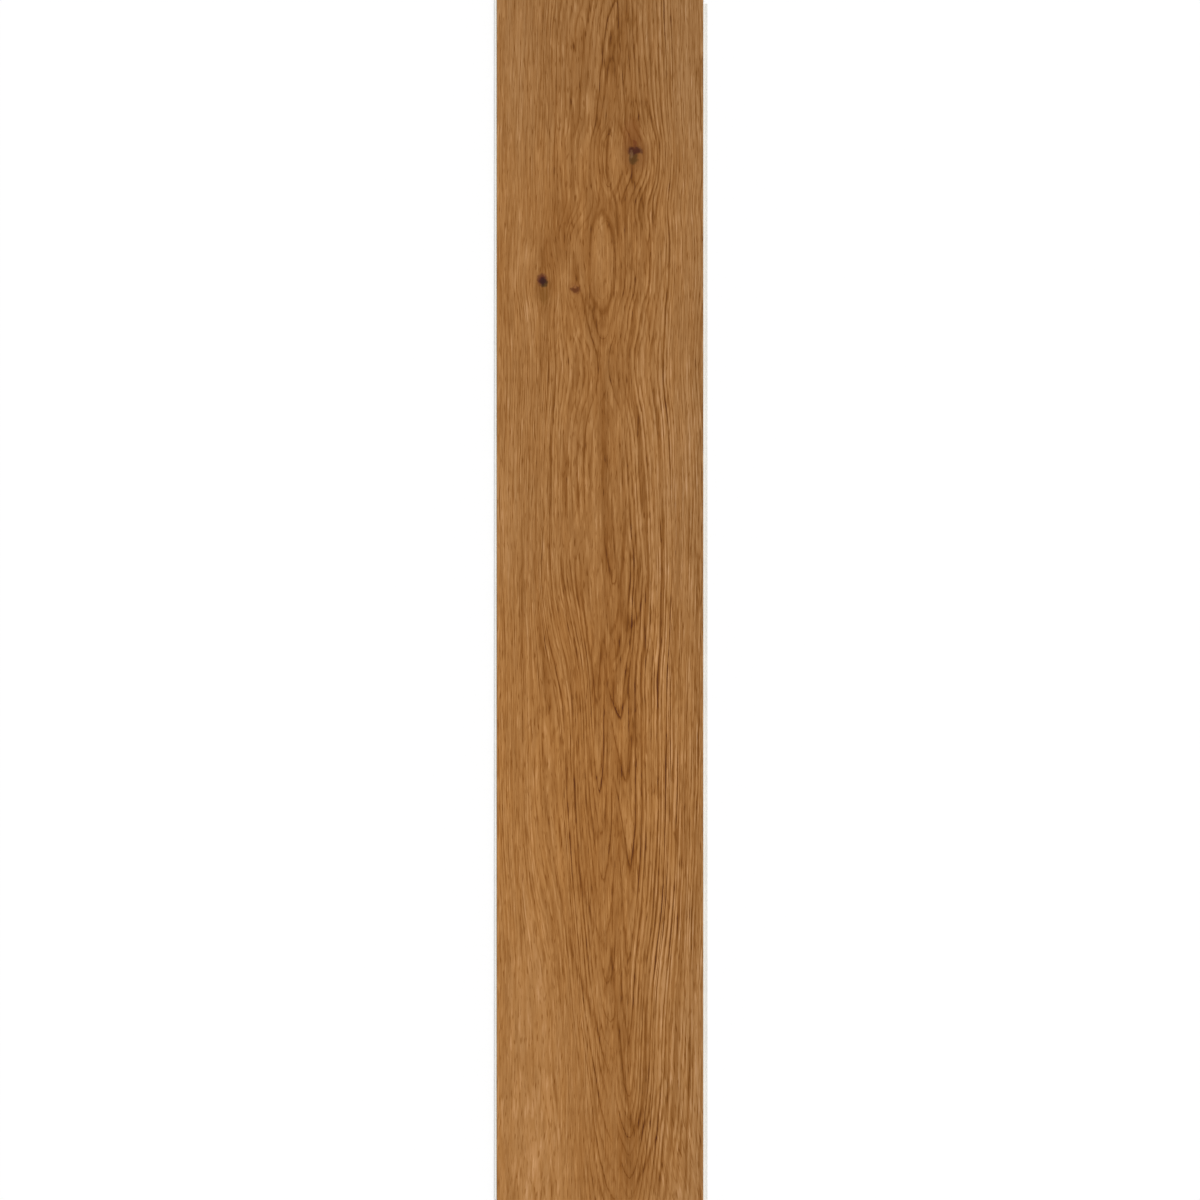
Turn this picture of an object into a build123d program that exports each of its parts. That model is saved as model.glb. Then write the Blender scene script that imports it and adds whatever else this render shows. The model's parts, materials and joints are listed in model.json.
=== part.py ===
from build123d import *
import os

# Rigid core vinyl plank with a click-lock edge, lying face up. It is one solid.
# Frame: X across the plank, Y along it, Z up. The origin is the centre of the laid face's
# outline, on the underside. All lengths are in millimetres.

# The laid face: the part that shows in a floor, and the pitch at which planks repeat.
FACE_LENGTH = 1219.0
FACE_WIDTH = 209.5
THICKNESS = 5.0
EDGE_EASE = 0.3  # small bevel round the face

# The tongue stands out of the face edge on the left side and on the far end.
TONGUE_REACH = 2.2
TONGUE_THICKNESS = 1.5
TONGUE_NOSE_RADIUS = 0.6

# The lower lip stands out of the face edge on the right side and on the near end.
# Its top follows this chain from the face edge outwards: floor, slope, valley, flank, ridge, fall.
LIP_FLOOR = 1.35  # lip thickness under the groove
LIP_VALLEY = 0.9  # lip thickness at its thinnest
FLOOR_RUN = 0.3
SLOPE_RUN = 0.7
VALLEY_RUN = 1.6
FLANK_RUN = 0.45
RIDGE_RUN = 0.7
FALL_RUN = 0.6
RIDGE_HEIGHT = 0.7  # above the valley

# Room between two planks that are locked together.
LOCK_CLEARANCE = 0.05
NOSE_GAP = 0.2  # in front of the tongue's nose
LIP_END_GAP = 0.3  # past the end of the lip
CREST_GAP = 0.15  # above the ridge

# Milled corners.
GROOVE_RADIUS = 0.5
RIDGE_RADIUS = 0.15
LIP_END_RADIUS = 0.25
MOUTH_RADIUS = 0.12
SHARP = 0.0

# Heights above the underside.
TONGUE_BOTTOM = LIP_FLOOR + LOCK_CLEARANCE
TONGUE_TOP = TONGUE_BOTTOM + TONGUE_THICKNESS
GROOVE_ROOF = TONGUE_TOP + LOCK_CLEARANCE
RIDGE_TOP = LIP_VALLEY + RIDGE_HEIGHT
NOTCH_ROOF = RIDGE_TOP + CREST_GAP

# Distances out from the face edge, along the lip.
SLOPE_TOP = FLOOR_RUN
SLOPE_FOOT = SLOPE_TOP + SLOPE_RUN
FLANK_FOOT = SLOPE_FOOT + VALLEY_RUN
RIDGE_INNER = FLANK_FOOT + FLANK_RUN
RIDGE_OUTER = RIDGE_INNER + RIDGE_RUN
LIP_REACH = RIDGE_OUTER + FALL_RUN
GROOVE_DEPTH = TONGUE_REACH + NOSE_GAP


def eased_arris():
    """Corners of the small bevel where any edge meets the face."""
    return [
        (0.0, THICKNESS - EDGE_EASE, SHARP),
        (-EDGE_EASE, THICKNESS, SHARP),
    ]


def groove_edge():
    """Corners (out from the face edge, height, corner radius), from the underside up."""
    return [
        (LIP_REACH, 0.0, LIP_END_RADIUS),
        (LIP_REACH, LIP_VALLEY, LIP_END_RADIUS),
        (RIDGE_OUTER, RIDGE_TOP, RIDGE_RADIUS),
        (RIDGE_INNER, RIDGE_TOP, RIDGE_RADIUS),
        (FLANK_FOOT, LIP_VALLEY, RIDGE_RADIUS),
        (SLOPE_FOOT, LIP_VALLEY, RIDGE_RADIUS),
        (SLOPE_TOP, LIP_FLOOR, RIDGE_RADIUS),
        (-GROOVE_DEPTH, LIP_FLOOR, GROOVE_RADIUS),
        (-GROOVE_DEPTH, GROOVE_ROOF, GROOVE_RADIUS),
        (0.0, GROOVE_ROOF, MOUTH_RADIUS),
        *eased_arris(),
    ]


def tongue_edge():
    """The same for the tongue. Its underside is the neighbour's lip with clearance."""
    hook_bottom = LIP_VALLEY + LOCK_CLEARANCE
    notch_end = LIP_REACH + LIP_END_GAP
    return [
        (-notch_end, 0.0, SHARP),
        (-notch_end, NOTCH_ROOF, RIDGE_RADIUS),
        (-(RIDGE_INNER - LOCK_CLEARANCE), NOTCH_ROOF, RIDGE_RADIUS),
        (-(FLANK_FOOT - LOCK_CLEARANCE), hook_bottom, RIDGE_RADIUS),
        (-(SLOPE_FOOT + LOCK_CLEARANCE), hook_bottom, RIDGE_RADIUS),
        (-(SLOPE_TOP + LOCK_CLEARANCE), TONGUE_BOTTOM, RIDGE_RADIUS),
        (TONGUE_REACH, TONGUE_BOTTOM, TONGUE_NOSE_RADIUS),
        (TONGUE_REACH, TONGUE_TOP, TONGUE_NOSE_RADIUS),
        (0.0, TONGUE_TOP, SHARP),
        *eased_arris(),
    ]


def milled_section(face_span, plane, groove_side):
    """Cross-section between two opposite edges, with the groove on the given side (+1 or -1)."""
    half = face_span / 2
    groove = [(groove_side * (half + out), height, r) for out, height, r in groove_edge()]
    tongue = [(-groove_side * (half + out), height, r) for out, height, r in tongue_edge()]
    corners = groove + tongue[::-1]
    outline = FilletPolyline(
        *[(across, height) for across, height, r in corners],
        radius=[r for across, height, r in corners],
        close=True,
    )
    return plane * make_face(outline)


def plank():
    """Both edge profiles are milled right through, so the plank is where the two sections meet.
    The loose slivers that the cutters leave off two corners fall away."""
    past_edges = LIP_REACH + TONGUE_REACH
    long_edges = extrude(
        milled_section(FACE_WIDTH, Plane.XZ, groove_side=1),
        amount=FACE_LENGTH / 2 + past_edges,
        both=True,
    )
    end_edges = extrude(
        milled_section(FACE_LENGTH, Plane.YZ, groove_side=-1),
        amount=FACE_WIDTH / 2 + past_edges,
        both=True,
    )
    milled = long_edges & end_edges
    return milled.solids().sort_by(SortBy.VOLUME)[-1]


os.makedirs("parts", exist_ok=True)
export_step(plank(), "parts/plank.step")
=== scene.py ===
import json
import math

import bmesh
import bpy
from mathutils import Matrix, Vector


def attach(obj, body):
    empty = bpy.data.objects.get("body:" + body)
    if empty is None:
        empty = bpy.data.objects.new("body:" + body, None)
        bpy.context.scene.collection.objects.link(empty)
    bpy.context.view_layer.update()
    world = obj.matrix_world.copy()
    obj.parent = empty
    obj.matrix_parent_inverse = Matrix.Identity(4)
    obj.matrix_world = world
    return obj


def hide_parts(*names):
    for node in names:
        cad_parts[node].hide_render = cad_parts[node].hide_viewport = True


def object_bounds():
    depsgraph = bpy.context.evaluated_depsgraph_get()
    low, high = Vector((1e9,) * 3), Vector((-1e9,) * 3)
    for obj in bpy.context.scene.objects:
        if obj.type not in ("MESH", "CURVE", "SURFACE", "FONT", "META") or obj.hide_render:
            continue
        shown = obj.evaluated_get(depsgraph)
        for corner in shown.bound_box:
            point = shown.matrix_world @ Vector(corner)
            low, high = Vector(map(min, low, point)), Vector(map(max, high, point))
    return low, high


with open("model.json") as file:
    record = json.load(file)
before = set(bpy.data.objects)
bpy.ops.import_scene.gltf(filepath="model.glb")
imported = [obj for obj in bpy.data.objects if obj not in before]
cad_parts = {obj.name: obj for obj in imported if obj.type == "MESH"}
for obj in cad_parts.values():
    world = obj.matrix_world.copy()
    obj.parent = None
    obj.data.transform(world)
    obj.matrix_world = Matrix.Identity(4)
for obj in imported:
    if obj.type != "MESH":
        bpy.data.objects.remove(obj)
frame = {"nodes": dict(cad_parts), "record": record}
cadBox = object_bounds()
mounts = {mount["name"]: mount["pos_m"] for mount in frame["record"]["mounts"]}
mm = 0.001  # the grain is laid out in millimetres
print("frame loaded:", sorted(frame["nodes"]))

# The printed face, measured between the lock edges
face = {
    "halfWidth": mounts["long_groove"][0],
    "halfLength": mounts["end_tongue"][1],
    "top": cadBox[1].z,
}
faceLength = 2 * face["halfLength"] / mm


# Shader and field maths

class Value:  # a socket that Python's operators work on
    def __init__(self, graph, socket):
        self.graph = graph
        self.socket = socket

    def math(self, operation, *others):
        return self.graph.math(operation, self, *others)

    def __add__(self, other):
        return self.math("ADD", other)

    def __sub__(self, other):
        return self.math("SUBTRACT", other)

    def __rsub__(self, other):
        return self.graph.math("SUBTRACT", other, self)

    def __mul__(self, other):
        return self.math("MULTIPLY", other)

    def __truediv__(self, other):
        return self.math("DIVIDE", other)

    def __neg__(self):
        return self.math("MULTIPLY", -1.0)

    def lift(self, least):  # a share from 0 to 1 becomes one from least to 1
        return self * (1 - least) + least

    __radd__ = __add__
    __rmul__ = __mul__


class Graph:  # adds nodes to a shader tree or to a geometry tree
    def __init__(self, tree):
        self.tree = tree

    def node(self, kind, settings={}, inputs={}, output=0):
        made = self.tree.nodes.new(kind)
        for name, setting in settings.items():
            if name == "stops":
                self.setStops(made.color_ramp, setting)
            elif name == "points":
                self.setPoints(made.mapping, setting)
            else:
                setattr(made, name, setting)
        for name, given in inputs.items():
            if isinstance(given, Value):
                self.tree.links.new(given.socket, made.inputs[name])
            else:
                made.inputs[name].default_value = given
        return Value(self, made.outputs[output]) if made.outputs else made

    def setStops(self, ramp, stops):
        ramp.elements[0].position = stops[0][0]
        ramp.elements[-1].position = stops[-1][0]
        for stop in stops[1:-1]:
            ramp.elements.new(stop[0])
        for element, stop in zip(ramp.elements, stops):
            element.color = stop[1]

    def setPoints(self, mapping, points):
        line = mapping.curves[0].points
        line[0].location = points[0]
        line[-1].location = points[-1]
        for place in points[1:-1]:
            line.new(*place)
        for point in line:
            point.handle_type = "AUTO_CLAMPED"
        mapping.update()

    def math(self, operation, *values):
        return self.node("ShaderNodeMath", {"operation": operation}, dict(enumerate(values)))

    def ease(self, value, low, high):  # 0 at low, 1 at high, either way round
        return self.node(
            "ShaderNodeMapRange",
            {"interpolation_type": "SMOOTHSTEP"},
            {0: value, 1: low, 2: high, 3: 0.0, 4: 1.0},
        )

    def between(self, value, rise, fall):  # each is given as where it is 0 and where it is 1
        return self.ease(value, *rise) * self.ease(value, *fall)

    def bell(self, *offsets):  # 1 in the middle, falling away over a width of 1
        squares = [offset * offset for offset in offsets]
        return (-sum(squares[1:], squares[0])).math("EXPONENT")

    def white(self, value):  # one fixed random number for each whole value
        return self.node("ShaderNodeTexWhiteNoise", {"noise_dimensions": "1D"}, {"W": value})

    def mixColour(self, amount, under, over, blend="MIX"):
        settings = {"data_type": "RGBA", "blend_type": blend}
        return self.node("ShaderNodeMix", settings, {0: amount, 6: under, 7: over}, 2)

    def ramp(self, value, reach, stops):  # colours at places from -reach to reach
        span = 2 * reach
        unit = [(place / span + 0.5, colour) for place, colour in stops]
        return self.node("ShaderNodeValToRGB", {"stops": unit}, {0: value / span + 0.5})

    def noise(self, u, v, size, detail=1.0, roughness=0.5):  # about -1 to 1
        width, length, seed = size
        place = self.node("ShaderNodeCombineXYZ", {}, {0: u / width + seed, 1: v / length})
        cloud = self.node(
            "ShaderNodeTexNoise",
            {"noise_dimensions": "2D"},
            {"Vector": place, "Scale": 1.0, "Detail": detail, "Roughness": roughness},
        )
        return (cloud - 0.5) * 3.0

    def curve(self, value, points):  # a smooth line through (place, height) points
        heights = [height for place, height in points]
        low = min(heights)
        rise = max(heights) - low or 1.0
        first = points[0][0]
        span = points[-1][0] - first
        unit = [((place - first) / span, (height - low) / rise) for place, height in points]
        found = self.node("ShaderNodeFloatCurve", {"points": unit}, {1: (value - first) / span})
        return found * rise + low


def emptyGraph(owner):  # of a material or of the world
    owner.use_nodes = True
    owner.node_tree.nodes.clear()
    return Graph(owner.node_tree)


def finishMaterial(g, look, colour, roughness, height):
    bump = g.node(
        "ShaderNodeBump",
        {},
        {"Strength": look["bump"], "Distance": look["bumpDepth"], "Height": height},
    )
    shader = g.node(
        "ShaderNodeBsdfPrincipled",
        {},
        {
            "Base Color": colour,
            "Roughness": roughness,
            "Specular IOR Level": look["specular"],
            "Normal": bump,
        },
    )
    g.node("ShaderNodeOutputMaterial", {}, {"Surface": shader})


def srgb(red, green, blue):  # a given colour, as the shader wants it
    linear = [((c / 255 + 0.055) / 1.055) ** 2.4 for c in (red, green, blue)]
    return (*linear, 1.0)


# Oak grain, in millimetres. Along is counted from the far end, across from the middle.
# Two columns of growth rings run down the face: centre is where each lies, depth how far down its heart is.
# A noise is given by its width, its length and a seed.

oakGrain = {
    "kept": ("fibre", "rings", "flank", "clear"),  # attributes of the mesh
    "heartLine": 14.0,  # straight line that both columns swing about
    "swingReach": (50.0, 34.0),  # how far the swing is felt, to the left and to the right
    "swingTurn": 10.0,  # half width of the change from one reach to the other
    "tipShape": 1.6,  # 1 makes the arches pointed, 2 round
    "join": 3.0,  # how softly the columns run together
    "seamWidth": 5.0,  # lines fade where the rings of the two columns meet,
    "seamAcross": ((-48, -28), (58, 38)),  # not at all and in full, at the left and at the right
    "wander": [(2.2, (34, 210, 0)), (0.65, (10, 105, 40))],  # how far the rings stray, and the noise for it
    "tipWander": 0.4,  # share of it at the tips of the arches
    "rightCentre": [
        (0, 16), (60, 12), (127, 13), (160, 14), (192, 12), (225, 7), (270, 3), (345, 4), (437, 6),
        (528, 8), (610, 14), (665, 14), (720, 19), (792, 26), (874, 32), (975, 33), (1097, 35),
        (1219, 34),
    ],
    "rightDepth": [
        (0, 22), (61, 18), (105, 15.5), (127, 14), (160, 8), (200, 14), (208, 14.8), (216, 14),
        (266, 6), (312, 13.8), (340, 17.8), (371, 21.4), (398, 19.5), (427, 14.4), (457, 11.6),
        (528, 10), (584, 10.4), (599, 11.6), (650, 14.4), (675, 18), (719, 21.6), (792, 25.2),
        (874, 28.8), (965, 32.4), (1056, 36), (1097, 38), (1130, 42), (1165, 48), (1189, 52.5),
        (1219, 58),
    ],
    "leftCentre": [
        (0, 24.5), (406, 6), (528, 3), (610, -10), (701, -8), (787, -5), (851, -1), (914, 2),
        (996, 7), (1077, 12), (1219, 20),
    ],
    "leftDepth": [
        (0, 50), (437, 30), (528, 17), (590, 13.5), (698, 18), (789, 21.6), (849, 25.2),
        (894, 28.8), (945, 32.4), (996, 36), (1077, 45), (1219, 60),
    ],
    "lineAcross": [(-105, 0.56), (-60, 0.78), (-15, 0.95), (20, 1.03), (50, 1.03), (80, 0.88), (105, 0.65)],
    "lineAlong": [
        (0, 0.86), (200, 0.82), (330, 0.95), (500, 1.15), (700, 1.15), (900, 1.12), (1100, 0.98),
        (1219, 0.9),
    ],
    "leans": [  # middle and half width of a stretch, and how far its lines lean over, from far to near
        (-36, 27, [(0, 9), (510, 9), (760, -11), (1219, -11)]),
        (-60, 34, [(0, 10), (780, 10), (1080, -4), (1219, -1)]),
        (-100, 26, [(0, 0), (850, 0), (1060, 3), (1219, 6)]),
        (58, 24, [(0, -5), (880, -5), (1070, 6), (1219, 2)]),
        (100, 30, [(0, 0), (1000, 0), (1219, -14)]),
    ],
    "knots": [  # across, along, reach each way, how hard the fibres are pushed aside
        (35, 157, 26, 44, 0.42), (-60, 286, 20, 34, 0.6), (-26, 294, 9, 20, 0.5),
    ],
    "calm": [  # across, along, half width, half length, how much the lines fade (below 0 they come out)
        (2, 267, 11, 48, 0.95), (2, 267, 15, 58, 0.8), (17, 156, 10, 30, 0.85),
        (-10, 90, 6, 80, 0.6), (-62, 268, 20, 20, 0.6), (-30, 330, 16, 40, 0.4),
        (20, 745, 6, 14, 0.6), (-7, 772, 7, 16, 0.5), (-55, 235, 30, 60, 0.6),
        (-14, 255, 9, 50, 0.5), (5, 510, 11, 80, 0.85), (10, 640, 20, 70, 0.75),
        (-12, 560, 9, 60, 0.5), (2, 930, 9, 110, 0.6), (34, 1150, 10, 60, 0.6),
        (76, 290, 24, 110, 0.25), (76, 500, 24, 80, 0.2), (74, 860, 22, 130, -0.25),
        (8, 430, 24, 45, 0.7), (30, 500, 20, 90, 0.15), (30, 900, 16, 90, 0.2),
        (-95, 80, 20, 120, 0.3), (-80, 1120, 40, 160, 0.7), (-24, 552, 10, 22, 0.7),
        (-55, 325, 4, 34, 0.9), (-36, 575, 20, 40, 0.35), (35, 375, 26, 45, 0.3),
        (-45, 920, 18, 90, 0.25), (-20, 260, 24, 90, 0.2),
    ],
}


def facePlace(g, position):  # millimetres across from the middle, and along from the far end
    across, up = [g.node("ShaderNodeSeparateXYZ", {}, {0: position}, k) / mm for k in range(2)]
    return across, faceLength / 2 - up


def ringColumn(g, across, along, centre, depth):  # distance from the heart of one column
    side = across - oakGrain["heartLine"]
    swing = g.curve(along, centre) - oakGrain["heartLine"]
    toLeft, toRight = oakGrain["swingReach"]
    reach = (toLeft + toRight) / 2 + (toRight - toLeft) / 2 * (side / oakGrain["swingTurn"]).math("TANH")
    side = side - swing * g.bell(side / reach)
    shape = oakGrain["tipShape"]
    wide = side.math("ABSOLUTE").math("POWER", shape)
    deep = g.curve(along, depth).math("POWER", shape)
    return (wide + deep).math("POWER", 1 / shape), wide / (wide + deep)


def grainField(g, position):  # the slow part of the grain, which the print and the emboss share
    across, along = facePlace(g, position)
    fibre = across
    for x, y, reachAcross, reachAlong, push in oakGrain["knots"]:
        aside = across - x
        fibre = fibre - aside * g.bell(aside / reachAcross, (along - y) / reachAlong) * push
    for middle, halfWidth, points in oakGrain["leans"]:
        fibre = fibre + g.curve(along, points) * g.bell((across - middle) / halfWidth)
    right, rightSteep = ringColumn(g, fibre, along, oakGrain["rightCentre"], oakGrain["rightDepth"])
    left, leftSteep = ringColumn(g, fibre, along, oakGrain["leftCentre"], oakGrain["leftDepth"])
    flank = rightSteep.math("MINIMUM", leftSteep)  # 0 at the tips of the arches
    seam = g.ease((right - left).math("ABSOLUTE"), oakGrain["seamWidth"], 0.0)  # 1 where the columns meet
    clear = 1.0 - seam * g.between(across, *oakGrain["seamAcross"])
    clear = clear * g.curve(across, oakGrain["lineAcross"]) * g.curve(along, oakGrain["lineAlong"])
    for x, y, halfWidth, halfLength, fade in oakGrain["calm"]:
        clear = clear * (1.0 - fade * g.bell((across - x) / halfWidth, (along - y) / halfLength))
    wander = sum(amount * g.noise(fibre, along, size) for amount, size in oakGrain["wander"])
    rings = right.math("SMOOTH_MIN", left, oakGrain["join"]) + wander * flank.lift(oakGrain["tipWander"])
    return {
        "across": across, "along": along,
        "fibre": fibre, "rings": rings, "flank": flank, "clear": clear,
    }


# Ring lines, broken and uneven as in real oak

ringLook = {
    "pitch": 3.6,  # mm from ring to ring
    "drift": (0.9, (6, 700, 0)),  # rings by which the pitch strays, and the noise for it
    "ragged": [(0.5, (1.3, 26, 80)), (0.5, (3.2, 58, 120))],  # mm that a line's edges stray, and the noise
    "raggedTip": 0.2,  # share of it at the tips of the arches
    "moodSeed": 0,  # picks which rings are dark
    "faintest": 0.3,  # how dark the palest ring is
    "archRings": (21, 12),  # below the middle these rings are all clear: mm from the heart, half width,
    "archAlong": (560, 660),  # where that begins and is full,
    "archMood": (0.4, 0.95),  # and how far they are drawn to how dark a line
    "places": (0.75, 0.55, (14, 90, 31)),  # lines are stronger here and fainter there: mean, swing, noise
    "dash": ((2.2, 64, 11), (-0.65, 0.3)),  # breaks in the lines: noise, and its values for a gap and a line
    "tipBreak": 0.15,  # share of the breaks at the tips of the arches
    "wholeRight": (0.55, (20, 55)),  # share of them that is lost at the right, and from where to where
    "tipLine": (0.07, 0.375),  # rings are long at the tips and lines aren't: least share, and a power
    "line": ((0.0, 0.12), (0.55, 0.15)),  # shares of a ring where the dark line comes and goes
    "ridge": ((0.4, 0.65), (1.0, 0.75)),  # and the ridge: raised in the emboss, and lighter in the print, partly grain and partly a painted highlight
    "crack": ((3.0, 60, 51), 2.0, 0.02),  # dark where a noise is near 0: noise, its detail, how near
    "crackPlaces": ((3.4, 30, 7), (-0.1, 0.5)),  # noise, and its values for no crack and a full one
}


def ringLines(g, field, ragged=True):  # dark early wood, then a raised ridge in every ring, printed lighter as partly grain and partly a painted highlight
    across, along, fibre, rings = [field[name] for name in ("across", "along", "fibre", "rings")]
    steep = field["flank"].lift(ringLook["tipBreak"])
    if ragged:
        stray = sum(amount * g.noise(fibre, along, size) for amount, size in ringLook["ragged"])
        rings = rings + stray * steep.lift(ringLook["raggedTip"])
    drift, size = ringLook["drift"]
    count = rings / ringLook["pitch"] + drift * steep * g.noise(rings, along, size)
    turn = count.math("FRACT")
    mood = g.white(count.math("FLOOR") + ringLook["moodSeed"])
    mood = (mood * mood).lift(ringLook["faintest"])
    middle, halfWidth = ringLook["archRings"]
    share, dark = ringLook["archMood"]
    arches = share * g.bell((rings - middle) / halfWidth) * g.ease(along, *ringLook["archAlong"])
    mood = mood + arches * (dark - mood)
    mean, swing, size = ringLook["places"]
    place = (mean + swing * g.noise(fibre, along, size)) * field["clear"]
    size, cut = ringLook["dash"]
    dash = g.ease(g.noise(fibre, along, size), *cut)
    lost, right = ringLook["wholeRight"]
    broken = steep * (1.0 - lost * g.ease(across, *right))
    dash = 1.0 - broken * (1.0 - dash)
    least, power = ringLook["tipLine"]
    near = turn / field["flank"].math("POWER", power).lift(least)
    line = g.between(near, *ringLook["line"]) * mood * dash * place
    ridge = g.between(turn, *ringLook["ridge"]) * dash * place
    size, detail, nearness = ringLook["crack"]
    crack = g.noise(fibre, along, size, detail)
    crack = (-(crack * crack) / nearness).math("EXPONENT")
    size, cut = ringLook["crackPlaces"]
    crack = crack * g.ease(g.noise(fibre, along, size), *cut) * field["clear"]
    return {"line": line, "ridge": ridge, "crack": crack}


# Print. Tone is counted in levels from the mean colour.

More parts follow.
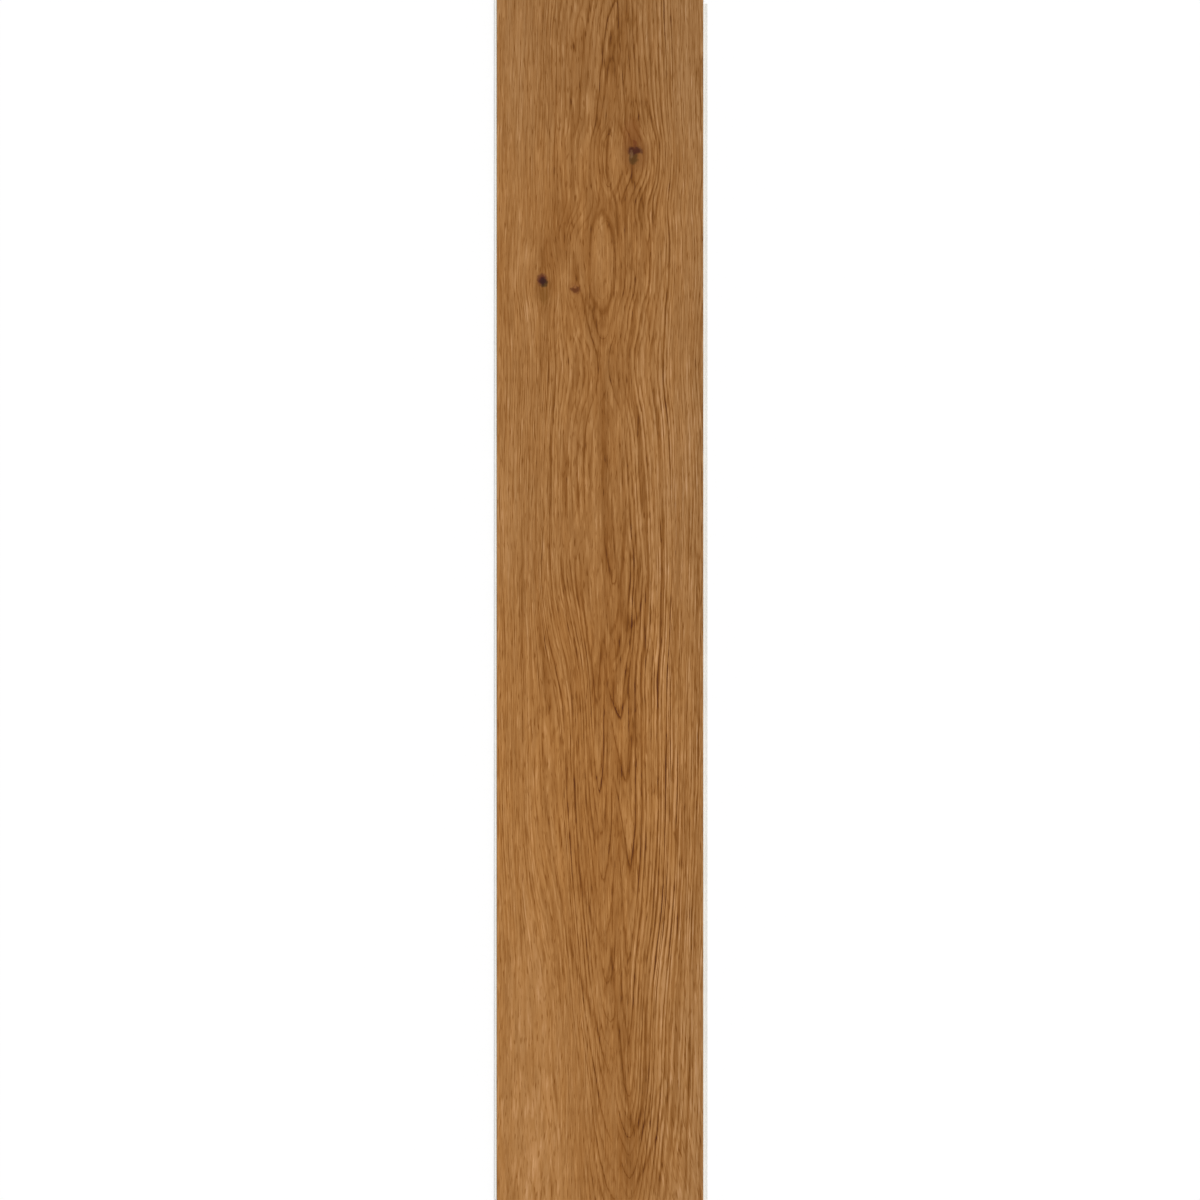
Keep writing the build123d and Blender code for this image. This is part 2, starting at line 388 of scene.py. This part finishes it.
oakPrint = {
    "stops": [  # tone, and the colour there
        (-60, (88, 48, 20)), (-45, (108, 64, 27)), (-30, (126, 78, 34)), (-16, (141, 92, 46)),
        (0, (157, 108, 60)), (16, (174, 125, 75)), (34, (191, 142, 95)), (60, (215, 168, 122)),
    ],
    "toneReach": 60.0,
    "sheen": 0.0105,  # light that the gloss adds, left out of the print
    "darkest": 0.002,  # least that this leaves of a colour
    "meanTone": 5.5,
    # the ridge tone is partly lighter grain and partly a painted highlight of the embossed ridges
    "lineTones": {"ridge": 14.0, "line": -64.0, "crack": -24.0},
    "boldHighlightTone": 11.0,  # more painted highlight on the ridges at the right,
    "boldAcross": (15, 60),  # from where to where,
    "boldAlong": (880, 360, 0.3, 0.9),  # middle, half length, share everywhere, more in the middle
    "flecks": {  # tone, noise, its detail, and its values for no fleck and a full one
        "streak": (10.0, (1.7, 34, 70), 2.0, None),
        "glint": (16.0, (1.9, 30, 20), 1.0, (0.2, 0.8)),
        "pore": (-26.0, (1.1, 14, 30), 1.0, (0.35, 0.85)),
        "hair": (6.0, (0.4, 11, 35), 1.0, None),
        "band": (6.0, (7, 130, 60), 1.0, None),
    },
    "cloud": (5.0, (16, 100, 5), 3.0, 0.6),  # tone, noise, its detail and roughness
    "relief": {"ridge": 0.5, "line": -1.0, "pore": -0.6, "crack": -0.4},  # shares of the bump's depth
    "bump": 0.6,
    "bumpDepth": 0.12 * mm,
    "roughness": 0.5,
    "specular": 0.12,
    "acrossTone": [(-105, 0), (-85, 0), (-45, -3), (0, -6), (35, -5), (80, 0), (105, -1)],
    "greyTint": (0.946, 1.012, 1.196),
    "goldTint": (1.056, 0.988, 0.82),
    "warmAcross": [(-105, 0.6), (-80, 0.2), (-50, 0.34), (0, 0.38), (50, 0.05), (105, -1.0)],
    "warmAlong": [
        (0, -1.15), (110, -0.85), (220, -0.1), (500, -0.3), (650, 0.4),
        (820, 0.75), (1050, 0.15), (1219, 0.1),
    ],
    "warmPatches": (0.45, (6, 60, 90), 2.0),  # amount, noise and its detail
    "warmReach": 1.5,  # warmth at which a tint is full
    "eyeLine": 0.09,  # width of a drawn outline, as a share of its half width
    "eyeWobble": (0.09, (6, 40, 15)),  # how far it strays, likewise, and the noise
    "eyes": [  # across, along, half width, half length, tone of the drawn outline
        (2.0, 267, 13.5, 51, -24), (3, 268, 18.5, 64, -10),
    ],
    "strokeEnds": (4, 8),  # mm beyond a stroke's ends where it starts, and inside them where it is full
    "strokes": [  # tone and width of a single drawn line, then its (along, across) points
        (-32, 1.4, [
            (126, 14), (133, 10), (145, 7.6), (163, 6.4), (175, 6.6),
            (189, 10.5), (200, 14), (209, 16.6), (244, 18),
        ]),
        (-28, 1.4, [(174, 23.6), (187, 19.4), (200, 16)]),
        (-16, 1.4, [(120, -2), (137, -1), (152, -0.6), (163, 1.4), (178, 1.4), (198, -1), (214, -3)]),
        (-20, 1.4, [
            (100, 46), (115, 49), (128, 54.5), (138, 56.3),
            (161, 53.8), (174, 56), (184, 53.6), (228, 53.5),
        ]),
        (-16, 1.4, [(90, 57), (107, 60), (122, 62), (138, 60.6), (160, 60.2), (184, 59), (215, 58)]),
        (-18, 1.6, [(186, 25.2), (208, 25.6), (240, 27)]),
        (-14, 2.2, [(168, 32.5), (192, 33)]),
        (-18, 2.2, [(120, 18), (130, 20.5), (136, 24), (144, 29.5)]),
        (-18, 1.5, [(188, 40.5), (200, 42), (212, 43.7), (230, 45)]),
        (-16, 1.5, [(296, -19.5), (305, -17.3), (312, -15.6), (323, -12.7), (335, -11), (352, -6)]),
        (-20, 1.6, [(303, -15.6), (309, -12.7), (316, -7.8), (326, -4.6), (334, -2.6), (352, 1)]),
        (-18, 1.6, [(268, -22.3), (288, -22)]),
        (-16, 1.6, [(248, -55), (262, -58), (276, -58)]),
        (8, 5.0, [(0, -3), (90, -8), (178, -17)]),
        (-14, 1.4, [(222, 6), (245, 12.6), (267, 15), (290, 13.2), (314, 6)]),
        (-22, 1.6, [(30, 13.5), (40, 10.5), (52, 8.5)]),
        (-18, 1.6, [(32, 20), (44, 16.5), (56, 14)]),
        (-16, 1.5, [(58, 9), (63, 6.5), (72, 5.6), (86, 6.2)]),
        (-12, 1.5, [(58, 9), (63, 11.5), (72, 12.6), (80, 13)]),
        (-18, 1.6, [(4, 30), (14, 33.5), (22, 34.5), (32, 32)]),
        (-24, 1.5, [(530, 25), (570, 23), (594, 20.5), (618, 19), (632, 16), (645, 10)]),
        (-20, 1.6, [(540, 36), (568, 34.5), (594, 30.5), (618, 28)]),
        (-22, 1.6, [(556, 41), (600, 41), (622, 40), (632, 34.5), (640, 29)]),
        (-14, 1.5, [(600, 8), (622, 9), (640, 11), (650, 12)]),
        (-34, 1.8, [(642, 20.5), (656, 19.5), (666, 17), (673, 12)]),
        (-20, 1.6, [(644, 5), (660, 2), (676, 1)]),
        (-28, 1.5, [(672, 26), (690, 27.5), (703, 27), (714, 24.5), (724, 19)]),
        (-26, 1.5, [(688, 14.5), (703, 13.5), (714, 15), (724, 19)]),
        (-22, 1.5, [(756, -11), (775, -10), (785, -8.5), (791, -5)]),
        (-20, 1.5, [(745, 5), (775, 1.7), (786, -0.7), (791, -5)]),
        (-22, 1.5, [(766, 20), (782, 22), (790, 24.5), (795, 27)]),
        (-24, 1.5, [(745, 33), (772, 31), (786, 29.5), (795, 27)]),
        (-14, 1.6, [(668, -2), (688, -5), (702, -8)]),
        (-14, 1.5, [(676, 5), (694, 6.5), (712, 6)]),
        (-24, 1.5, [(594, -23.5), (606, -22.5), (618, -21)]),
        (-9, 4.5, [(628, 31), (680, 31), (720, 35), (760, 36)]),
        (-16, 1.6, [(812, -13), (838, -8.5), (852, -2)]),
        (-14, 1.6, [(806, 7.5), (838, 5), (852, -2)]),
        (-15, 1.6, [(822, 16), (853, 22), (876, 30.5)]),
        (-18, 1.7, [(804, 42), (848, 39.5), (876, 30.5)]),
        (-18, 1.6, [(860, -26), (890, -20), (941, -5), (964, 6)]),
        (-18, 1.6, [(930, -37), (961, -30), (1010, -14), (1062, 2)]),
        (-14, 1.6, [(958, 14), (990, 8), (1012, 3)]),
        (-20, 1.6, [(960, 11), (1030, 17), (1080, 23), (1120, 28), (1151, 35)]),
        (-22, 1.6, [(1015, 45), (1060, 47), (1100, 46), (1125, 43), (1151, 35)]),
        (-20, 1.6, [(1040, 68), (1083, 66), (1110, 58), (1137, 47), (1160, 38)]),
        (-22, 1.6, [(1100, 72), (1150, 58), (1180, 47), (1201, 37)]),
    ],
    "patches": [  # across, along, half width, half length, tone
        (17, 45, 10, 34, -12), (36, 200, 8, 34, -9), (28, 290, 7, 40, -7), (28, 70, 26, 70, -6),
        (33, 132, 12, 24, -11), (16, 154, 8, 24, 9), (48, 138, 5, 11, 15), (-84, 100, 10, 60, 4),
        (-42, 222, 18, 34, -11), (-51, 262, 10, 20, -7), (-76, 262, 9, 11, 12),
        (-70, 325, 8, 24, 8), (3, 268, 10, 32, 5), (-52, 306, 7, 14, -5), (-33, 280, 5, 12, 8),
        (-96, 325, 8, 14, -6), (10, 368, 13, 20, -7), (3, 415, 6, 30, -6), (8, 558, 4.5, 38, -28),
        (4.5, 475, 5, 55, -17), (-5, 530, 6, 70, 7), (-28, 366, 9, 26, 8), (60, 500, 22, 80, 5),
        (-98, 510, 7, 90, 10), (27, 632, 6, 9, -20), (13, 606, 8, 24, 6), (20, 745, 6, 12, 9),
        (-8, 768, 7, 16, 6), (22, 778, 8, 14, -9), (36, 868, 8, 18, -10), (-3, 828, 6, 18, 5),
        (12, 838, 7, 16, -6), (-10, 899, 9, 20, -6), (17, 930, 8, 20, -7), (4, 967, 8, 20, -7),
        (25, 1060, 9, 30, -8), (28, 1150, 14, 22, -12), (36, 1190, 12, 18, -11),
        (62, 985, 12, 30, 7), (86, 1016, 8, 40, 6), (93, 924, 6, 20, -5), (-62, 1125, 46, 170, 11),
        (-68, 850, 9, 70, 7), (-56, 685, 10, 50, -5), (-99, 740, 6, 110, 5), (0, 270, 50, 70, 3),
        (70, 860, 30, 200, -4), (-50, 520, 26, 90, 4), (30, 1180, 22, 60, -3),
        (-44, 700, 24, 140, 4), (-92, 900, 18, 90, 4), (-46, 950, 22, 110, 4),
        (10, 500, 30, 120, 2), (20, 90, 40, 90, -2), (-50, 20, 60, 60, -2.5), (85, 30, 20, 50, -4),
        (-38, 415, 14, 45, 5), (52, 400, 28, 60, 5), (38, 540, 12, 50, 4), (-63, 590, 12, 70, -4),
        (-38, 715, 12, 45, 5), (63, 725, 12, 110, 7), (89, 690, 12, 110, -4), (-63, 950, 12, 40, 5),
        (-12, 985, 13, 80, 5), (63, 950, 12, 40, -6), (89, 1000, 14, 110, 4),
        (-58, 1185, 28, 50, 5), (-50, 265, 20, 34, -3), (-12, 110, 28, 40, -3),
        (63, 1090, 12, 40, 5), (12, 640, 13, 40, -4), (8, 400, 13, 35, -4), (50, 470, 40, 50, 3),
        (-12, 190, 14, 40, -3),
    ],
    "knotBends": [(1.5, (4, 5, 3)), (1.8, (4, 5, 53))],  # how far a knot strays, across and along
    "bendDetail": 2.0,
    "spotEdge": (1.5, 0.2),  # where a spot begins and is full: squared share of its size
    "spots": [  # knots, back to front: across, along, half width, half length, strength, colour
        (32, 138, 10, 18, 0.45, (130, 77, 38)), (36, 158, 14, 18, 0.5, (122, 75, 38)),
        (33.9, 161.4, 5.0, 7.0, 0.88, (86, 58, 26)), (35.6, 153.8, 7.8, 4.6, 0.92, (72, 37, 24)),
        (32.2, 158.5, 1.3, 4.6, 0.55, (134, 100, 68)), (35.6, 146.5, 2.6, 3.8, 0.6, (108, 54, 30)),
        (-58, 293, 9, 15, 0.4, (122, 76, 34)), (-56.5, 301, 4.5, 10, 0.45, (122, 80, 34)),
        (-58.8, 284.8, 5.4, 6.4, 0.85, (84, 40, 34)), (-57.0, 287.8, 3.6, 4.6, 0.8, (66, 50, 26)),
        (-58.4, 285.6, 3.4, 4.0, 0.8, (56, 32, 32)),
        (-25.5, 294, 7, 7, 0.35, (134, 82, 42)), (-25, 294.6, 5.0, 4.0, 0.9, (98, 54, 10)),
        (-25.4, 291.8, 1.4, 1.3, 0.5, (165, 110, 65)),
    ],
}


def printColour(colour):
    return tuple(max(c - oakPrint["sheen"], oakPrint["darkest"]) for c in srgb(*colour)[:3]) + (1.0,)


def printTone(g, field, lines):  # how far the print is lighter or darker than its mean, painted highlights on the ridges included
    across, along, fibre = field["across"], field["along"], field["fibre"]
    middle, halfLength, share, more = oakPrint["boldAlong"]
    # where the painted highlight on the embossed ridges is stronger
    bold = g.ease(across, *oakPrint["boldAcross"]) * (share + more * g.bell((along - middle) / halfLength))
    tone = oakPrint["boldHighlightTone"] * bold * lines["ridge"]
    for name, amount in oakPrint["lineTones"].items():
        tone = tone + amount * lines[name]
    flecks = {}
    for name, (amount, size, detail, cut) in oakPrint["flecks"].items():
        fleck = g.noise(fibre, along, size, detail)
        flecks[name] = g.ease(fleck, *cut) if cut else fleck
        tone = tone + amount * flecks[name]
    amount, size, detail, roughness = oakPrint["cloud"]
    tone = tone + amount * g.noise(across, along, size, detail, roughness)
    return tone + field["patches"] + field["strokes"], flecks["pore"]


def patchTone(g, across, along):  # broad light and dark places
    tone = g.curve(across, oakPrint["acrossTone"]) + oakPrint["meanTone"]
    for x, y, halfWidth, halfLength, amount in oakPrint["patches"]:
        tone = tone + amount * g.bell((across - x) / halfWidth, (along - y) / halfLength)
    return tone


def strokeTone(g, across, along):  # single drawn lines
    stray, size = oakPrint["eyeWobble"]
    wobble = stray * g.noise(across, along, size)
    tone = 0.0
    for x, y, halfWidth, halfLength, amount in oakPrint["eyes"]:
        u = (across - x) / halfWidth
        v = (along - y) / halfLength
        outline = (u * u + v * v).math("SQRT") - 1.0 + wobble
        tone = tone + amount * g.bell(outline / oakPrint["eyeLine"])
    outside, inside = oakPrint["strokeEnds"]
    for amount, width, points in oakPrint["strokes"]:
        first, last = points[0][0], points[-1][0]
        ends = g.between(along, (first - outside, first + inside), (last + outside, last - inside))
        tone = tone + amount * g.bell((across - g.curve(along, points)) / width) * ends
    return tone


def warmth(g, field):  # greyer at the far right, more golden at the near left
    across, along = field["across"], field["along"]
    amount, size, detail = oakPrint["warmPatches"]
    warm = g.curve(across, oakPrint["warmAcross"]) + g.curve(along, oakPrint["warmAlong"])
    warm = warm + amount * g.noise(field["fibre"], along, size, detail)
    reach = oakPrint["warmReach"]
    stops = [
        (-reach, (*oakPrint["greyTint"], 1.0)),
        (0.0, (1.0, 1.0, 1.0, 1.0)),
        (reach, (*oakPrint["goldTint"], 1.0)),
    ]
    return g.ramp(warm, reach, stops)


def drawKnots(g, field, colour):
    bent = []
    for name, (stray, size) in zip(("across", "along"), oakPrint["knotBends"]):
        bend = g.noise(field["across"], field["along"], size, oakPrint["bendDetail"])
        bent.append(field[name] + stray * bend)
    for x, y, halfWidth, halfLength, strength, paint in oakPrint["spots"]:
        u = (bent[0] - x) / halfWidth
        v = (bent[1] - y) / halfLength
        mask = g.ease(u * u + v * v, *oakPrint["spotEdge"]) * strength
        colour = g.mixColour(mask, colour, printColour(paint))
    return colour


def storedGrain(g):  # reads back what is kept in the mesh
    across, along = facePlace(g, g.node("ShaderNodeTexCoord", output="Object"))
    field = {"across": across, "along": along}
    for name in (*oakGrain["kept"], "patches", "strokes"):
        field[name] = g.node("ShaderNodeAttribute", {"attribute_name": name}, output="Fac")
    return field


def oakFace():
    material = bpy.data.materials.new("oakPrint")
    g = emptyGraph(material)
    field = storedGrain(g)
    lines = ringLines(g, field)
    tone, pore = printTone(g, field, lines)
    stops = [(place, printColour(colour)) for place, colour in oakPrint["stops"]]
    colour = g.ramp(tone, oakPrint["toneReach"], stops)
    colour = g.mixColour(1.0, colour, warmth(g, field), "MULTIPLY")
    colour = drawKnots(g, field, colour)
    heights = {**lines, "pore": pore}
    height = sum(share * heights[name] for name, share in oakPrint["relief"].items())
    finishMaterial(g, oakPrint, colour, oakPrint["roughness"], height)
    return material


# Core

coreFinish = {
    "speckle": 0.45,  # mm
    "speckleDetail": 3.0,
    "speckleRoughness": 0.6,
    "broad": (0.06, (30, 55, 7), 3.0),  # wide clouds added to the speckle: amount, noise and its detail
    "pale": (246, 244, 239),
    "grey": (230, 227, 220),
    "greyFrom": (0.40, 0.62),  # speckle where the grey begins and is full
    "fleck": (194, 188, 178),
    "fleckFrom": (0.66, 0.76),
    "fleckShare": 0.6,
    "film": (112, 74, 42),  # cut edge of the printed film
    "filmFrom": (4.40, 4.45),  # mm above the underside where it begins and is full
    "wall": (0.7, 0.2),  # upward part of the normal where a milled wall begins and is full
    "millPitch": 0.9,  # mm between the cutter's marks along an edge
    "speckleRelief": 0.5,  # shares of the bump's depth
    "millRelief": 0.12,
    "bump": 0.5,
    "bumpDepth": 0.05 * mm,
    "roughness": 0.62,
    "speckleRoughens": 0.2,  # more with the speckle
    "specular": 0.3,
}


def mineralCore():
    material = bpy.data.materials.new("mineralCore")
    g = emptyGraph(material)
    position = g.node("ShaderNodeTexCoord", output="Object")
    x, y, z = [g.node("ShaderNodeSeparateXYZ", {}, {0: position}, k) / mm for k in range(3)]
    grain = coreFinish["speckle"]
    speckle = g.node(
        "ShaderNodeTexNoise",
        {},
        {
            "Vector": g.node("ShaderNodeCombineXYZ", {}, {0: x / grain, 1: y / grain, 2: z / grain}),
            "Scale": 1.0,
            "Detail": coreFinish["speckleDetail"],
            "Roughness": coreFinish["speckleRoughness"],
        },
    )
    amount, size, detail = coreFinish["broad"]
    clouded = speckle + amount * g.noise(x, y, size, detail)
    pale, grey, fleck, film = [srgb(*coreFinish[name]) for name in ("pale", "grey", "fleck", "film")]
    colour = g.mixColour(g.ease(clouded, *coreFinish["greyFrom"]), pale, grey)
    flecked = coreFinish["fleckShare"] * g.ease(speckle, *coreFinish["fleckFrom"])
    colour = g.mixColour(flecked, colour, fleck)
    normal = g.node("ShaderNodeNewGeometry", output="Normal")
    upward = g.node("ShaderNodeSeparateXYZ", {}, {0: normal}, 2)
    wall = g.ease(upward.math("ABSOLUTE"), *coreFinish["wall"])  # 1 on the milled walls
    colour = g.mixColour(g.ease(z, *coreFinish["filmFrom"]) * wall, colour, film)
    mill = ((x + y) * (2 * math.pi / coreFinish["millPitch"])).math("SINE")
    height = coreFinish["speckleRelief"] * speckle + coreFinish["millRelief"] * wall * mill
    roughness = coreFinish["roughness"] + coreFinish["speckleRoughens"] * speckle
    finishMaterial(g, coreFinish, colour, roughness, height)
    return material


# Plank

plankBoard = {
    "weld": 0.001 * mm,
    "flatAngle": 0.5,  # degrees: flatter edges are dissolved
    "sharpAngle": 25.0,  # degrees: sharper edges stay sharp
    "level": 0.9,  # least upward part of a level face's normal,
    "facing": 0.5,  # of the eased edge's
    "upright": 0.7,  # and of one that is no wall
    "easedDepth": 0.4 * mm,  # the eased edge lies within this of the top
    "crossCuts": 282,
    "lengthCuts": 323,
    "embossDepth": 0.08 * mm,  # at the deepest
    "lineShare": 0.7,  # of it, for the lines: the rest is for what isn't a ridge
    "plainRim": (0.4, 2.5),  # mm from the edge: no emboss, full emboss
}


def plankMesh():
    bm = bmesh.new()
    bm.from_mesh(frame["nodes"]["plank"].data)
    bmesh.ops.remove_doubles(bm, verts=bm.verts, dist=plankBoard["weld"])
    flat = math.radians(plankBoard["flatAngle"])
    bmesh.ops.dissolve_limit(bm, angle_limit=flat, verts=bm.verts, edges=bm.edges)
    level = [f for f in bm.faces if f.normal.z > plankBoard["level"]]
    top = max(level, key=lambda f: f.calc_area())
    print("top face has", len(top.verts), "corners")
    faceEdges = {e for rim in top.edges for f in rim.link_faces for e in f.edges}  # eased ones too
    longEdges = [e for e in faceEdges if abs(e.verts[0].co.y - e.verts[1].co.y) > face["halfLength"]]
    bmesh.ops.subdivide_edges(bm, edges=longEdges, cuts=plankBoard["lengthCuts"], use_grid_fill=True)
    wide = [e for e in bm.edges if abs(e.verts[0].co.x - e.verts[1].co.x) > face["halfWidth"]]
    wide = [e for e in wide if all(v.co.z > face["top"] - plankBoard["easedDepth"] for v in e.verts)]
    bmesh.ops.subdivide_edges(bm, edges=wide, cuts=plankBoard["crossCuts"], use_grid_fill=True)
    for f in bm.faces:
        f.smooth = True
        f.material_index = 0 if onFace(f) else 1
    layOut(bm)
    mesh = bpy.data.meshes.new("vinylPlank")
    bm.to_mesh(mesh)
    bm.free()
    return mesh


def onFace(f):  # the top and its eased edge
    high = f.calc_center_median().z > face["top"] - plankBoard["easedDepth"]
    return high and f.normal.z > plankBoard["facing"]


# Map for baking: most of it goes to the face, then the underside, then strips for the four edges.

bakeMap = {
    "rim": 0.003,
    "face": (0.004, 0.700),
    "underside": (0.712, 0.762),
    "firstStrip": 0.770,
    "stripsEach": 3,  # walls, upward and downward faces of an edge
    "stripStep": 0.0188,
    "stripHeight": 0.016,
    "edgeDepth": 16 * mm,  # how far in from its outermost line an edge's strips reach
}


def layOut(bm):
    layer = bm.loops.layers.uv.new("OFBake")
    low, high = cadBox
    for f in bm.faces:
        middle = f.calc_center_median()
        toEdges = [high.x - middle.x, middle.x - low.x, high.y - middle.y, middle.y - low.y]
        edge = toEdges.index(min(toEdges))
        onEdge = edge > 1 and f.material_index == 1
        turned = 0 if abs(f.normal.z) < plankBoard["upright"] else 1 if f.normal.z > 0 else 2
        strip = bakeMap["firstStrip"] + (bakeMap["stripsEach"] * edge + turned) * bakeMap["stripStep"]
        for loop in f.loops:
            x, y, z = loop.vert.co
            acrossShare = (x - low.x) / (high.x - low.x)
            alongShare = (y - low.y) / (high.y - low.y)
            if f.material_index == 0:
                v = spread(bakeMap["face"], acrossShare)
            elif f.normal.z < -plankBoard["level"] and middle.z < plankBoard["weld"]:
                onEdge = False
                v = spread(bakeMap["underside"], acrossShare)
            else:
                depth = [high.x - x, x - low.x, high.y - y, y - low.y][edge] / bakeMap["edgeDepth"]
                share = min(depth, 1.0) if turned else z / face["top"]
                v = spread((strip, strip + bakeMap["stripHeight"]), share)
            u = spread((bakeMap["rim"], 1 - bakeMap["rim"]), acrossShare if onEdge else alongShare)
            loop[layer].uv = (u, v)


def spread(limits, share):
    return limits[0] + (limits[1] - limits[0]) * share


def runNodes(plank, build):  # makes a geometry tree, runs it on the mesh once and throws it away
    tree = bpy.data.node_groups.new("grainNodes", "GeometryNodeTree")
    tree.interface.new_socket("Geometry", in_out="INPUT", socket_type="NodeSocketGeometry")
    tree.interface.new_socket("Geometry", in_out="OUTPUT", socket_type="NodeSocketGeometry")
    g = Graph(tree)
    board = build(g, g.node("NodeGroupInput"), g.node("GeometryNodeInputPosition"))
    g.node("NodeGroupOutput", {}, {0: board})
    plank.modifiers.new("grainNodes", "NODES").node_group = tree
    done = plank.evaluated_get(bpy.context.evaluated_depsgraph_get())
    before = plank.data
    plank.data = bpy.data.meshes.new_from_object(done)
    plank.modifiers.clear()
    bpy.data.meshes.remove(before)
    bpy.data.node_groups.remove(tree)


def keep(g, board, name, value):  # as an attribute of the mesh
    return g.node(
        "GeometryNodeStoreNamedAttribute",
        {"data_type": "FLOAT", "domain": "POINT"},
        {"Geometry": board, "Name": name, "Value": value},
    )


def keepPatches(g, board, position):
    return keep(g, board, "patches", patchTone(g, *facePlace(g, position)))


def keepStrokes(g, board, position):
    return keep(g, board, "strokes", strokeTone(g, *facePlace(g, position)))


def pressGrain(g, board, position):  # keeps the ring field, and presses its lines into the top
    field = grainField(g, position)
    for name in oakGrain["kept"]:
        board = keep(g, board, name, field[name])
    lines = ringLines(g, field, ragged=False)
    upward = g.node("ShaderNodeSeparateXYZ", {}, {0: position}, 2)
    bare, full = plankBoard["plainRim"]
    inset = face["halfWidth"] / mm - field["across"].math("ABSOLUTE")
    inEnd = faceLength / 2 - (field["along"] - faceLength / 2).math("ABSOLUTE")
    press = g.ease(inset, bare, full) * g.ease(inEnd, bare, full)
    press = press * upward.math("GREATER_THAN", face["top"] - plankBoard["weld"])
    share = plankBoard["lineShare"]
    sink = share * lines["line"] + (1 - share) * (1.0 - lines["ridge"]).math("MAXIMUM", 0.0)
    drop = g.node("ShaderNodeCombineXYZ", {}, {2: sink * press * -plankBoard["embossDepth"]})
    return g.node("GeometryNodeSetPosition", {}, {"Geometry": board, "Offset": drop})


def makePlank():
    plank = bpy.data.objects.new("vinylPlank", plankMesh())
    bpy.context.scene.collection.objects.link(plank)
    plank.data.materials.append(oakFace())
    plank.data.materials.append(mineralCore())
    plank.data.set_sharp_from_angle(angle=math.radians(plankBoard["sharpAngle"]))
    for build in (keepPatches, keepStrokes, pressGrain):
        runNodes(plank, build)
    plank.data.name = "vinylPlank"
    reach = face["top"] - 2 * plankBoard["embossDepth"]
    print("grain pressed in, lowest", min(v.co.z for v in plank.data.vertices if v.co.z > reach))
    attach(plank, "root")
    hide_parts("plank")
    print("plank made:", len(plank.data.polygons), "faces")


# Studio

studio = {
    "cameraHeight": 12.0,
    "viewEnd": 120.0,
    "sensorWidth": 36.0,  # mm
    "trim": 2.2 * mm,  # the picture ends just inside the eased edges
    "floorSize": 60.0,
    "floorDrop": 0.05 * mm,
    "underLight": 0.5 * mm,  # light passes the floor on paths shorter than this
    "floorColour": (0.8, 0.8, 0.8, 1.0),
    "floorGlow": 0.22,  # seen by the camera alone
    "white": (1.0, 1.0, 1.0, 1.0),
    "ambient": 0.608,
    "sunShare": 0.373,
    "sunTilt": 30.0,  # degrees from straight above
    "sunTurn": 60.0,  # degrees round from +X
    "sunWidth": 20.0,
}


def makeFloor():
    bm = bmesh.new()
    bmesh.ops.create_grid(bm, x_segments=1, y_segments=1, size=studio["floorSize"] / 2)
    for v in bm.verts:
        v.co.z = -studio["floorDrop"]
    mesh = bpy.data.meshes.new("floor")
    bm.to_mesh(mesh)
    bm.free()
    floor = bpy.data.objects.new("floor", mesh)
    bpy.context.scene.collection.objects.link(floor)
    material = bpy.data.materials.new("paleFloor")
    g = emptyGraph(material)
    shade = g.node("ShaderNodeBsdfDiffuse", {}, {"Color": studio["floorColour"]})
    seen = g.node("ShaderNodeLightPath", output="Is Camera Ray") * studio["floorGlow"]
    glow = g.node("ShaderNodeEmission", {}, {"Color": studio["white"], "Strength": seen})
    both = g.node("ShaderNodeAddShader", {}, {0: shade, 1: glow})
    # A look from below goes through the floor, and so does the light that the underside gets.
    under = g.node("ShaderNodeNewGeometry", output="Backfacing")
    close = g.node("ShaderNodeLightPath", output="Ray Length").math("LESS_THAN", studio["underLight"])
    clear = g.node("ShaderNodeBsdfTransparent")
    shown = g.node("ShaderNodeMixShader", {}, {0: under.math("MAXIMUM", close), 1: both, 2: clear})
    g.node("ShaderNodeOutputMaterial", {}, {"Surface": shown})
    floor.data.materials.append(material)


def makeLight():
    world = bpy.data.worlds.new("softRoom")
    bpy.context.scene.world = world
    g = emptyGraph(world)
    rays = ("Is Camera Ray", "Is Glossy Ray", "Is Transmission Ray")
    seen, mirrored, through = [g.node("ShaderNodeLightPath", output=ray) for ray in rays]
    strength = seen.math("MAXIMUM", mirrored).math("MAXIMUM", through).lift(studio["ambient"])
    sky = g.node("ShaderNodeBackground", {}, {"Color": studio["white"], "Strength": strength})
    g.node("ShaderNodeOutputWorld", {}, {"Surface": sky})
    lamp = bpy.data.lights.new("keyLight", "SUN")
    tilt = math.radians(studio["sunTilt"])
    lamp.energy = studio["sunShare"] * math.pi / math.cos(tilt)
    lamp.angle = math.radians(studio["sunWidth"])
    sun = bpy.data.objects.new("keyLight", lamp)
    sun.rotation_euler = (0.0, tilt, math.radians(studio["sunTurn"]))
    bpy.context.scene.collection.objects.link(sun)


def makeCamera():
    data = bpy.data.cameras.new("camera")
    away = studio["cameraHeight"] - face["top"]
    data.sensor_width = studio["sensorWidth"]
    data.lens = data.sensor_width * away / (2 * face["halfLength"] - studio["trim"])
    data.clip_end = studio["viewEnd"]
    camera = bpy.data.objects.new("camera", data)
    camera.location = (0.0, 0.0, studio["cameraHeight"])
    bpy.context.scene.collection.objects.link(camera)
    bpy.context.scene.camera = camera


bpy.context.scene.view_settings.view_transform = "Standard"
makePlank()
makeFloor()
makeLight()
makeCamera()
print("studio set")
